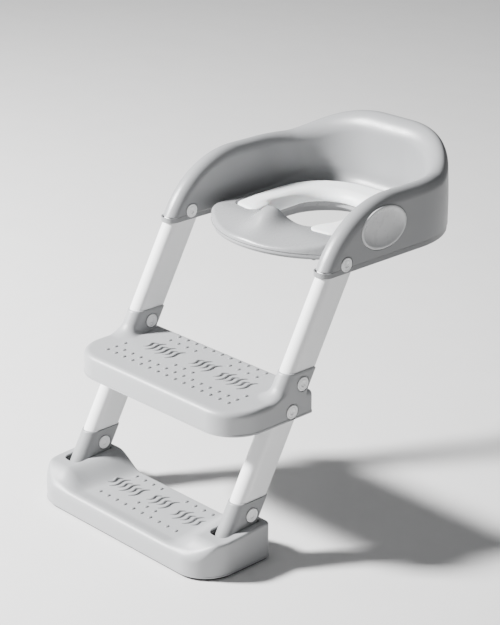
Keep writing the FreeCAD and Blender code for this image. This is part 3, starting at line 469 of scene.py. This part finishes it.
def ring_field(x, y, z):
    edge = 1.5 + 3.5 * (1 - smooth(y, 40, 80))
    block = meet(ring_plan(x, y), (z - ring_top(x, y)) * 0.88, edge)
    return meet(block, -hole_plan(x, y), 4.5)


def ring_void(x, y, z):
    return np.maximum(ring_field(x, y, z) + 3, z - 415)


def build_ring():
    """Deck and splash guard in one moulding, with a lip round its front and a cushion recess."""
    low, high = (-136, -40, 398), (136, 270, 458)
    ring = moulded("seat_ring_top", ring_field, low, high, 2.0)
    cut_below(ring, LIP_BOTTOM)
    groove = prism("groove", ring_outline(12), LIP_BOTTOM + LIP_HEIGHT, LIP_BOTTOM + LIP_HEIGHT + 1.2)
    boolean(groove, prism("groove_end", square(-300, LIP_REAR, 300, 400), LIP_BOTTOM, LIP_BOTTOM + 20))
    boolean(groove, prism("groove_floor", ring_outline(-0.9), LIP_BOTTOM, LIP_BOTTOM + 20))
    boolean(ring, groove)
    lip = prism("lip", ring_outline(2.0), LIP_BOTTOM, LIP_BOTTOM + LIP_HEIGHT)
    boolean(lip, prism("lip_end", square(-300, LIP_REAR, 300, 400), LIP_BOTTOM - 5, LIP_BOTTOM + 20))
    boolean(ring, lip, "UNION")
    boolean(ring, moulded("ring_inside", ring_void, (-136, -40, 394), high, 4))
    boolean(ring, prism("recess", rounded(cushion_corners(0.9), 10), 420, 470))
    shade(ring)
    wear(ring, MATERIALS["ring"], "seat_unit")
    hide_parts("seat_ring")


# Cushion

_, (CUSHION_X, CUSHION_REAR, _) = node_box("seat_cushion")
CUSHION_INNER, CUSHION_TOP, CUSHION_BOTTOM, VOXEL = 66, 428.9, 420.4, 0.0025


def cushion_corners(grow, fill=0):
    """Plan of the horseshoe, from the outer rear round the front tips to the inner rear.

    Fill moves the inner edge over the hole.
    """
    inner = -CUSHION_INNER + grow + fill
    half = [(-CUSHION_X - grow, CUSHION_REAR + grow, 102 + grow), (-CUSHION_X - grow, 118, 150 + grow),
            (-112 - grow, 52 - grow, 16 + grow), (-56 + grow, 42 - grow, 14 + grow),
            (inner, 105, 90 - grow), (inner, 203 - grow - fill, 62 - grow - fill)]
    return both_sides(half)


def polygon_field(points):
    """Signed distance to a closed outline in plan."""
    starts = np.array(points)
    ends = np.roll(starts, -1, axis=0)

    def distance(x, y):
        best, inside = 1e9, False
        for (ax, ay), (bx, by) in zip(starts, ends):
            ex, ey = bx - ax, by - ay
            wx, wy = x - ax, y - ay
            t = np.clip((wx * ex + wy * ey) / (ex * ex + ey * ey), 0, 1)
            best = np.minimum(best, (wx - t * ex) ** 2 + (wy - t * ey) ** 2)
            crosses = ((ay > y) != (by > y)) & (x < ex * (y - ay) / (ey if ey else 1e-9) + ax)
            inside = inside ^ crosses
        return np.sqrt(best) * np.where(inside, -1, 1)
    return distance


def build_cushion():
    """Foam horseshoe: crowned, with its inner edge rolled down into the hole, then puffed as cloth."""
    plan = polygon_field(rounded(cushion_corners(-1.2, 3.4), 10))

    def field(x, y, z):
        beyond = hole_plan(x, y)
        behind = smooth(y, 58, 100)
        inner = behind * (1 - smooth(beyond, -5.5, 16))
        edge = plan(x, y)
        crown = 1.4 * smooth(-edge, 2, 20)
        top = meet(edge, z - CUSHION_TOP - crown + 4.5 * inner ** 2, 4 + 5 * inner)
        floor = CUSHION_BOTTOM - 9 * behind * (1 - smooth(beyond, -1.2, -0.4))
        return meet(top, floor - z, 1.5)

    cushion = moulded("cushion", field, (-124, 36, 404), (124, 268, 436), 2.0)
    puff(cushion, pressure=4.0, cap=2.2)
    subdivide = cushion.modifiers.new("smooth", "SUBSURF")
    subdivide.levels = subdivide.render_levels = 1
    apply_modifiers(cushion)
    shade(cushion, 180)
    wear(cushion, MATERIALS["cushion"], "seat_unit")
    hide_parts("seat_cushion")


def puff(thing, pressure, cap):
    """Swells a piece as cloth under pressure, and caps how far any point moves."""
    remesh = thing.modifiers.new("even", "REMESH")
    remesh.mode, remesh.voxel_size = "VOXEL", VOXEL
    apply_modifiers(thing)
    rest = np.array([v.co for v in thing.data.vertices])
    cloth = thing.modifiers.new("cloth", "CLOTH")
    settings = cloth.settings
    settings.use_pressure, settings.uniform_pressure_force = True, pressure
    settings.quality, settings.mass = 5, 0.3
    settings.tension_stiffness = settings.compression_stiffness = 15
    settings.bending_stiffness = 2
    settings.effector_weights.gravity = 0
    scene = bpy.context.scene
    for number in range(1, 21):
        scene.frame_set(number)
    apply_modifiers(thing)
    scene.frame_set(1)
    moved = np.array([v.co for v in thing.data.vertices]) - rest
    length = np.linalg.norm(moved, axis=1)
    moved *= np.minimum(1, cap * MM / np.maximum(length, 1e-9))[:, None]
    thing.data.vertices.foreach_set("co", (rest + moved).ravel())
    thing.data.update()


# Steps

(_, STEP_FRONT, STEP_BOTTOM), (STEP_X, _, EAR_TOP) = node_box("middle_step")
STEP_REAR, TREAD_Z, STEP_RIB = -64.0, 237.4, 206
STEP_PLAN = (STEP_X, STEP_FRONT, STEP_REAR, 58, 7)
EAR_GROW, PASSAGE_GROW, RIB_HALF = 2.0, 0.2, 1.1


def step_field(x, y, z):
    """Block with a large front corner radius and an ear round each rail."""
    block = meet(slab_plan(x, y, STEP_PLAN), z - TREAD_Z, 9)
    down, ahead = rail_frame(y, z)
    ear = meet(rail_section(x, ahead, EAR_GROW), z - EAR_TOP, 1.2)
    blend = 3 + 13 * smooth(ahead, 4, 30)
    return np.maximum(join(block, ear, blend), np.abs(x) - STEP_X)


def step_void(x, y, z):
    return meet(slab_plan(x, y, STEP_PLAN, -3), z - TREAD_Z + 3, 6)


def rail_prism(name, grow, start, end, side):
    """The rail's section carried down the rail."""
    half, front, back = RAIL_HALF + grow, RAIL_FRONT + grow, -RAIL_BACK - grow
    outline = rounded([(half, back, 3 + grow), (half, front, half - 0.05), (-half, front, half - 0.05),
                       (-half, back, 3 + grow)], arc=16)
    points = [(side * RAIL_X + x, *rail_place(down, ahead)) for down in (start, end) for x, ahead in outline]
    return face_out(mesh_object(name, points, skin(2, len(outline))))


CAP_RADIUS, CAP_SEAT, BOLT_BORE, SLEEVE_SEAT = 10.7, 13.0, 4.3, 1.3
EAR_BOLTS = {"upper_ear": rail_place(184.6, -4.8), "lower_ear": rail_place(228.7, -4.8)}
FOOT_BOLT = rail_place(390, -3.2)
SLEEVE_OUT, SLEEVE_IN = RAIL_X + RAIL_HALF + EAR_GROW, RAIL_X - RAIL_HALF - EAR_GROW


def cap_seats(thing, places, sides=(1, -1)):
    """Shallow seats for the caps in both faces of a sleeve, and the holes behind them."""
    for side in sides:
        for y, z in places:
            for face, inward in ((SLEEVE_OUT, -SLEEVE_SEAT), (SLEEVE_IN, SLEEVE_SEAT)):
                drill(thing, circle(y, z, CAP_SEAT), side, face - 3 * inward, face + inward)
            drill(thing, circle(y, z, BOLT_BORE), side, SLEEVE_OUT + 5, SLEEVE_IN - 5)


def add_rib(thing, x0, y0, x1, y1, bottom, top):
    """An upright rib along the line between two points in plan, either along X or along Y."""
    wide_x, wide_y = (RIB_HALF, 0) if x0 == x1 else (0, RIB_HALF)
    outline = square(x0 - wide_x, y0 - wide_y, x1 + wide_x, y1 + wide_y)
    return boolean(thing, prism("rib", outline, bottom, top), "UNION")


def build_middle_step():
    low, high = (-190, -234, 192), (190, -58, 278)
    step = moulded("middle_step_top", step_field, low, high, 2.2)
    cut_below(step, STEP_BOTTOM)
    lip = prism("lip", slab_outline(STEP_PLAN, 0.7), STEP_BOTTOM, STEP_BOTTOM + 2.6)
    boolean(step, lip, "UNION")
    boolean(step, moulded("step_inside", step_void, (-190, -234, 188), high, 4))
    for x in (-112, -56, 0, 56, 112):
        add_rib(step, x, STEP_FRONT + 4, x, STEP_REAR - 2, STEP_RIB, 235.2)
    for y in (-205, -175, -100):
        add_rib(step, -150, y, 150, y, STEP_RIB, 235)
    for side in (1, -1):
        sleeve = rail_prism("sleeve", EAR_GROW - 0.05, 150, 290, side)
        for low_cut, high_cut in ((EAR_TOP - 3, 500), (0, STEP_BOTTOM)):
            boolean(sleeve, prism("level", square(-300, -400, 300, 100), low_cut, high_cut))
        boolean(step, sleeve, "UNION")
        boolean(step, rail_prism("passage", PASSAGE_GROW, 120, 320, side))
    cap_seats(step, EAR_BOLTS.values())
    shade(step)
    wear(step, MATERIALS["step"], "ladder")
    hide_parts("middle_step")


# Foot sockets

_, (_, _, SOCKET_TOP) = node_box("foot_socket_right")
SOCKET_END, PIN_BORE = 452.0, 4.05
HINGE_Y, HINGE_Z = rail_place(436.0, 4.0)


def socket_field(side):
    def field(x, y, z):
        down, ahead = rail_frame(y, z)
        sleeve = meet(rail_section(side * x, ahead, EAR_GROW), z - SOCKET_TOP, 1.2)
        return meet(sleeve, down - SOCKET_END, 4)
    return field


def build_socket(side, word):
    """The sleeve at a rail's foot, open above for the rail and bored below for the hinge pin."""
    low, high = sorted((side * 150.0, side * 190.0))
    socket = moulded(f"foot_socket_top_{word}", socket_field(side), (low, -256, 4), (high, -148, 102), 1.6)
    boolean(socket, rail_prism("passage", PASSAGE_GROW, 330, 405.2, side))
    boolean(socket, rail_prism("relief", -2.4, 409, SOCKET_END + 6, side))
    low, high = sorted((side * (RAIL_X - RAIL_HALF - 0.5), side * (RAIL_X + RAIL_HALF + 0.5)))
    boolean(socket, prism("hinge_tube", circle(HINGE_Y, HINGE_Z, 8), low, high, axis="x"), "UNION")
    drill(socket, circle(HINGE_Y, HINGE_Z, PIN_BORE), side, RAIL_X - 20, RAIL_X + 20)
    cap_seats(socket, [FOOT_BOLT], (side,))
    shade(socket)
    wear(socket, MATERIALS["socket"], "ladder")
    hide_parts(f"foot_socket_{word}")


# Base step

(_, BASE_FRONT, _), (BASE_X, BASE_REAR, _) = node_box("base_step")
BASE_PLAN = (BASE_X, BASE_FRONT, BASE_REAR, 54, 9)
BASE_BOTTOM, BASE_RIB, TREAD_LOW, HUMP_LOW = 3.8, 6, 33.0, 38.0
SLOT_HALF, SLOT_FRONT, SLOT_REAR = 17.5, -248.0, -174.0


def base_top(x, y):
    """High ends that fall to the front corners, an S-shaped slope to the tread, a low rim in front."""
    hump = HUMP_LOW + 17.5 * smooth(y, -297, -262) + 3.5 * smooth(y, -258, -175)
    tread = TREAD_LOW + 4.0 * (1 - smooth(y, -292, -266))
    behind = smooth(y, -265, -190)
    return tread + (hump - tread) * smooth(np.abs(x), 102 - 10 * behind, 154 - 7 * behind)


def base_field(x, y, z):
    plan = slab_plan(x, y, BASE_PLAN)
    edge = 2.5 + 1.5 * smooth(-y, 170, 200) + 6 * smooth(-y, 262, 290)
    return meet(plan, (z - base_top(x, y)) * 0.93, edge)


def base_void(x, y, z):
    return meet(slab_plan(x, y, BASE_PLAN, -3), z - base_top(x, y) + 3.2, 6)


def build_grip_strip():
    """The rubber strip under the base step's edge. Its near-black colour is partly the rubber's own and partly
    painted shade for the gap under the edge.
    """
    strip = prism("grip_strip", slab_outline(BASE_PLAN, -2.6), 0, BASE_BOTTOM + 0.2)
    boolean(strip, prism("strip_inside", slab_outline(BASE_PLAN, -11), -5, BASE_BOTTOM + 5))
    shade(strip)
    wear(strip, MATERIALS["rubber"], "base")
    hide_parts("base_grip_strip")


def build_base_step():
    low, high = (-206, -303, -6), (206, -158, 66)
    base = moulded("base_step_top", base_field, low, high, 2.2)
    cut_below(base, BASE_BOTTOM)
    boolean(base, prism("lip", slab_outline(BASE_PLAN, 0.6), BASE_BOTTOM, BASE_BOTTOM + 2.0), "UNION")
    boolean(base, moulded("base_inside", base_void, (-206, -303, -10), high, 4))
    for x in (-90, -45, 0, 45, 90):
        add_rib(base, x, BASE_FRONT + 3, x, BASE_REAR - 2, BASE_RIB, 31)
    for side in (1, -1):
        for inner in (RAIL_X - SLOT_HALF - 3.5, RAIL_X + SLOT_HALF - 0.5):
            inside, outside = sorted((side * inner, side * (inner + 4)))
            cheek = square(inside, -254, outside, SLOT_REAR + 8)
            boolean(base, prism("cheek", cheek, BASE_RIB, 50), "UNION")
        left, right = side * RAIL_X - SLOT_HALF, side * RAIL_X + SLOT_HALF
        slot = rounded([(right, SLOT_REAR, 3), (right, SLOT_FRONT, 12),
                        (left, SLOT_FRONT, 12), (left, SLOT_REAR, 3)])
        boolean(base, prism("slot", slot, 12, 90))
    shade(base)
    wear(base, MATERIALS["step"], "base")
    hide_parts("base_step")


# Anti-slip dots and ridges

DOT_PITCH, DOT_LONG, DOT_WIDE, DOT_HIGH = 19.6, 4.0, 2.9, 1.9
STROKE_PITCH, STROKE_REACH, STROKE_WIDE, STROKE_HIGH = 11.5, 36, 2.3, 2.4


def dome(x, y, top, rings=4, count=12):
    """Points and faces of a low oblong dot that stands on a tread and reaches 1 mm into it."""
    levels = [(1, -1.0)]
    for ring in range(rings):
        slant = math.pi / 2 * ring / rings
        levels.append((math.cos(slant), DOT_HIGH * math.sin(slant)))
    points = []
    for share, height in levels:
        points += [(px, py, top(x, y) + height)
                   for px, py in ellipse(x, y, DOT_WIDE * share, DOT_LONG * share, count)]
    return points, skin(rings + 1, count)


def ridge(path, top, count=8):
    """Points and faces of a raised stroke that follows a path on a tread and tapers to its ends."""
    points = []
    last = len(path) - 1
    for index, (x, y) in enumerate(path):
        ahead, back = path[min(index + 1, last)], path[max(index - 1, 0)]
        along = Vector((ahead[0] - back[0], ahead[1] - back[1])).normalized()
        taper = math.sin(math.pi * (0.06 + 0.88 * index / last)) ** 0.5
        for k in range(count):
            turn = 2 * math.pi * k / count
            off = STROKE_WIDE * taper * math.cos(turn)
            height = STROKE_HIGH * taper * math.sin(turn)
            points.append((x - along.y * off, y + along.x * off, top(x, y) + height))
    return points, skin(last + 1, count)


def gather(name, lumps):
    """One object from several lumps of points and faces."""
    points, faces = [], []
    for lump_points, lump_faces in lumps:
        faces += [tuple(len(points) + k for k in face) for face in lump_faces]
        points += lump_points
    return face_out(mesh_object(name, points, faces))


def ripples(middle, count, y, top):
    """A cluster of short curved strokes side by side, every other one shorter."""
    lumps = []
    for k in range(count):
        x = middle + STROKE_PITCH * (k - (count - 1) / 2)
        length = STROKE_REACH * (1 if k % 2 else 0.66)
        path = [(x + 3.4 * math.sin(2 * math.pi * t) + 9 * (t - 0.5), y + length * (t - 0.5))
                for t in (n / 16 for n in range(17))]
        lumps.append(ridge(path, top))
    return lumps


def build_tread_marks(name, rows, clusters, top, body):
    """Rows of dots (y, first and last x in pitches) round clusters of ripples (x, strokes, y)."""
    lumps = []
    for y, first, last in rows:
        for k in range(round(last - first) + 1):
            lumps.append(dome((first + k) * DOT_PITCH, y, top))
    for x, strokes, y in clusters:
        lumps += ripples(x, strokes, y, top)
    marks = gather(name, lumps)
    shade(marks, 60)
    wear(marks, MATERIALS["grip"], body)


def build_marks():
    def level(x, y):
        return TREAD_Z

    def base_level(x, y):
        return float(base_top(np.float64(x), np.float64(y)))

    rows = [(-190, -7, 7), (-173.5, -7, 7), (-155, -7, -7), (-155, -1, 1), (-155, 7, 7),
            (-77.5, -5, 5), (-97, -5, -2), (-97, 2, 5)]
    clusters = [(-77, 6, -130), (11, 4, -124), (84, 6, -130)]
    build_tread_marks("middle_tread_marks", rows, clusters, level, "ladder")
    rows = [(-252, -4.5, 4.5), (-234, -1, 1), (-179, -4.5, -1.5), (-179, 1.5, 4.5)]
    clusters = [(-72, 6, -212), (2, 4, -206), (70, 5, -212)]
    build_tread_marks("base_tread_marks", rows, clusters, base_level, "base")


# Fasteners

def fastener(face, outward, y, z, shank_radius, shank_length, count=48):
    """Points and faces of a cap with a ring groove and a hex recess, and its shank."""
    def hexagon(turn, across):
        return across / math.cos((turn + math.pi / 6) % (math.pi / 3) - math.pi / 6)

    profile = [(shank_radius, -shank_length, False), (shank_radius, -0.7, False),
               (CAP_RADIUS - 0.3, -0.7, False), (CAP_RADIUS, -0.4, False), (CAP_RADIUS, 0.7, False),
               (CAP_RADIUS - 0.35, 1.1, False), (CAP_RADIUS - 0.9, 1.3, False), (8.9, 1.3, False),
               (8.4, 0.9, False), (7.7, 0.75, False), (7.0, 1.1, False), (6.4, 1.25, False),
               (4.3, 1.2, True), (4.0, 1.0, True), (3.8, 0.1, True), (2.0, 0.1, True)]
    points = []
    for radius, out, six in profile:
        for k in range(count):
            turn = 2 * math.pi * k / count
            r = hexagon(turn, radius) if six else radius
            points.append((face + outward * out, y + r * math.cos(turn), z + r * math.sin(turn)))
    return points, skin(len(profile), count)


def build_fasteners():
    """One piece for each CAD node: bolts show outside, nuts show inside."""
    for side, word in ((1, "right"), (-1, "left")):
        bolt = fastener(side * ARM_OUT, side, 0, PIVOT_Z, 2.5, 26)
        nut = fastener(side * (ARM_OUT - ARM_WALL), -side, 0, PIVOT_Z, 4.9, 32)
        for kind, lump in (("bolt", bolt), ("nut", nut)):
            finish_cap(f"pivot_{kind}_cap_{word}", [lump], "seat_unit", f"pivot_{kind}_{word}")
    for name, (y, z) in {**EAR_BOLTS, "foot": FOOT_BOLT}.items():
        bolts = [fastener(side * SLEEVE_OUT, side, y, z, 2.5, 25) for side in (1, -1)]
        nuts = [fastener(side * SLEEVE_IN, -side, y, z, 4.0, 30) for side in (1, -1)]
        finish_cap(f"{name}_bolt_caps", bolts, "ladder", f"{name}_bolts")
        finish_cap(f"{name}_nut_caps", nuts, "ladder", f"{name}_nuts")


def finish_cap(name, lumps, body, cad_node):
    caps = gather(name, lumps)
    shade(caps, 50)
    wear(caps, MATERIALS["cap"], body)
    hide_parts(cad_node)


# Materials

def node(tree, kind, **inputs):
    made = tree.nodes.new(kind)
    for name, value in inputs.items():
        made.inputs[name.replace("_", " ")].default_value = value
    return made


def finish_material(name, build, **constants):
    """A principled material whose varying inputs come from build(tree, coordinates, shader)."""
    material = bpy.data.materials.new(name)
    material.use_nodes = True
    tree = material.node_tree
    shader = tree.nodes["Principled BSDF"]
    for label, value in constants.items():
        shader.inputs[label.replace("_", " ")].default_value = value
    coordinates = tree.nodes.new("ShaderNodeTexCoord").outputs["Object"]
    build(tree, coordinates, shader)
    return material


def noise(tree, coordinates, scale, detail=3.0, roughness=0.5):
    made = node(tree, "ShaderNodeTexNoise", Scale=scale, Detail=detail, Roughness=roughness)
    tree.links.new(coordinates, made.inputs["Vector"])
    return made.outputs["Fac"]


def span(tree, source, low, high):
    """Maps a noise's middle range to low..high."""
    made = node(tree, "ShaderNodeMapRange", From_Min=0.3, From_Max=0.7, To_Min=low, To_Max=high)
    tree.links.new(source, made.inputs["Value"])
    return made.outputs["Result"]


def tint(tree, factor, dark, light):
    made = tree.nodes.new("ShaderNodeMix")
    made.data_type = "RGBA"
    made.inputs[6].default_value = (*dark, 1)
    made.inputs[7].default_value = (*light, 1)
    tree.links.new(factor, made.inputs[0])
    return made.outputs[2]


def bump(tree, height, strength, distance, under=None):
    made = node(tree, "ShaderNodeBump", Strength=strength, Distance=distance)
    tree.links.new(height, made.inputs["Height"])
    if under is not None:
        tree.links.new(under, made.inputs["Normal"])
    return made.outputs["Normal"]


def plastic(name, colour, roughness, grain=0.0004, grain_scale=1500, spread=0.012, **constants):
    """Moulded plastic: a faint cloudiness, satin patches, a spark-eroded grain and slow sink marks."""
    def build(tree, coordinates, shader):
        clouds = noise(tree, coordinates, 9, 4)
        light = [min(1, c * (1 + spread)) for c in colour]
        dark = [c * (1 - spread) for c in colour]
        tree.links.new(tint(tree, span(tree, clouds, 0, 1), dark, light), shader.inputs["Base Color"])
        patches = noise(tree, coordinates, 60, 5, 0.6)
        tree.links.new(span(tree, patches, roughness - 0.03, roughness + 0.04), shader.inputs["Roughness"])
        fine = noise(tree, coordinates, grain_scale, 2)
        sink = noise(tree, coordinates, 14, 1)
        under = bump(tree, sink, 0.25, 0.0012)
        tree.links.new(bump(tree, fine, 0.35, grain, under), shader.inputs["Normal"])
    return finish_material(name, build, **constants)


def make_materials():
    grey = (0.262, 0.266, 0.272)
    pale = (0.335, 0.34, 0.347)
    white = (0.91, 0.913, 0.915)
    return {
        "shell": plastic("shell_grey", grey, 0.32),
        # Tray grey, darker than the tray's own tone: painted shade for the seam under the shell's edge.
        "base": plastic("base_grey", (0.22, 0.223, 0.228), 0.38),
        "ring": plastic("ring_grey", (0.275, 0.279, 0.285), 0.27),
        "step": plastic("step_grey", pale, 0.40),
        "grip": plastic("grip_grey", (0.25, 0.254, 0.26), 0.5),
        "socket": plastic("socket_grey", (0.265, 0.27, 0.275), 0.40),
        "badge": plastic("badge_grey", (0.62, 0.625, 0.63), 0.28),
        "rail": plastic("rail_white", (0.93, 0.933, 0.935), 0.20, grain=0.0001, Coat_Weight=0.25,
                        Coat_Roughness=0.12),
        "cap": plastic("cap_white", white, 0.26, grain=0.0002),
        "nylon": plastic("nylon_white", (0.80, 0.80, 0.78), 0.36),
        "steel": plastic("plated_steel", (0.55, 0.56, 0.58), 0.28, Metallic=1.0),
        "cushion": plastic("cushion_white", (0.88, 0.883, 0.885), 0.42, grain=0.0006, grain_scale=1100,
                           Subsurface_Weight=0.08, Sheen_Weight=0.15),
        # Rubber made near black, darker than the rubber's own tone: partly painted shade for the gap under the
        # base step's edge.
        "rubber": plastic("grip_rubber", (0.012, 0.012, 0.013), 0.75, grain=0.0008, grain_scale=900),
    }


def wear(thing, material, body):
    thing.data.materials.clear()
    thing.data.materials.append(material)
    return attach(thing, body)


# Stage, lights and camera

def lamp(name, place, target, size, energy):
    data = bpy.data.lights.new(name, "AREA")
    data.shape, data.size, data.energy = "SQUARE", size, energy
    thing = bpy.data.objects.new(name, data)
    thing.location = place
    thing.rotation_euler = (Vector(target) - Vector(place)).to_track_quat("-Z", "Y").to_euler()
    bpy.context.scene.collection.objects.link(thing)
    return thing


def build_stage():
    """A plain pale floor, soft lights and the camera."""
    bpy.ops.mesh.primitive_grid_add(x_subdivisions=4, y_subdivisions=4, size=14)
    floor = bpy.context.object
    floor.name = "floor"
    floor.location.z = -0.0002
    floor.data.materials.append(plastic("floor_pale", (0.72, 0.715, 0.71), 0.62, grain=0.0))
    world = bpy.data.worlds.new("studio")
    bpy.context.scene.world = world
    world.use_nodes = True
    background = world.node_tree.nodes["Background"]
    background.inputs["Color"].default_value = (0.95, 0.97, 1.0, 1)
    background.inputs["Strength"].default_value = 0.19
    add_lamps()
    add_camera()


def add_lamps():
    middle = (0, 0, 0.25)
    lamp("key", (-2.2, -2.2, 2.5), middle, 0.55, 800)
    lamp("front", (0.4, -3.2, 1.6), middle, 2.2, 10)
    lamp("rear", (1.6, 2.4, 2.2), (0, 0.1, 0.4), 1.6, 5)


def add_camera():
    """The photograph's viewpoint, as solved from the round caps and the steps' edges."""
    data = bpy.data.cameras.new("camera")
    data.lens, data.sensor_width = 109.39, 36
    data.shift_x, data.shift_y = -0.0137, -0.0369
    camera = bpy.data.objects.new("camera", data)
    camera.location = (1.9787, -1.8789 + PIVOT_Y * MM, 1.3784)
    camera.rotation_euler = Euler((math.radians(90 - 21.1228), 0, math.radians(46.4707)))
    bpy.context.scene.collection.objects.link(camera)
    bpy.context.scene.camera = camera


MATERIALS = make_materials()
LOOK_OF_SLOT = {
    "shell_grey": "shell", "base_grey": "base", "ring_grey": "ring", "cushion_white": "cushion",
    "badge_grey": "badge", "rail_white": "rail", "step_grey": "step", "socket_grey": "socket",
    "cap_white": "cap", "nylon": "nylon", "steel": "steel", "grip_rubber": "rubber"}


def dress_frame():
    """Materials for the CAD nodes that stay."""
    for part in frame["record"]["subparts"]:
        mesh = frame["nodes"][part["node"]].data
        mesh.materials.clear()
        mesh.materials.append(MATERIALS[LOOK_OF_SLOT[part["material_slot"]]])


build_stage()
dress_frame()
build_surround()
build_badge(1, "right")
build_badge(-1, "left")
build_ring()
build_cushion()
build_middle_step()
build_socket(1, "right")
build_socket(-1, "left")
build_base_step()
build_grip_strip()
build_marks()
build_fasteners()
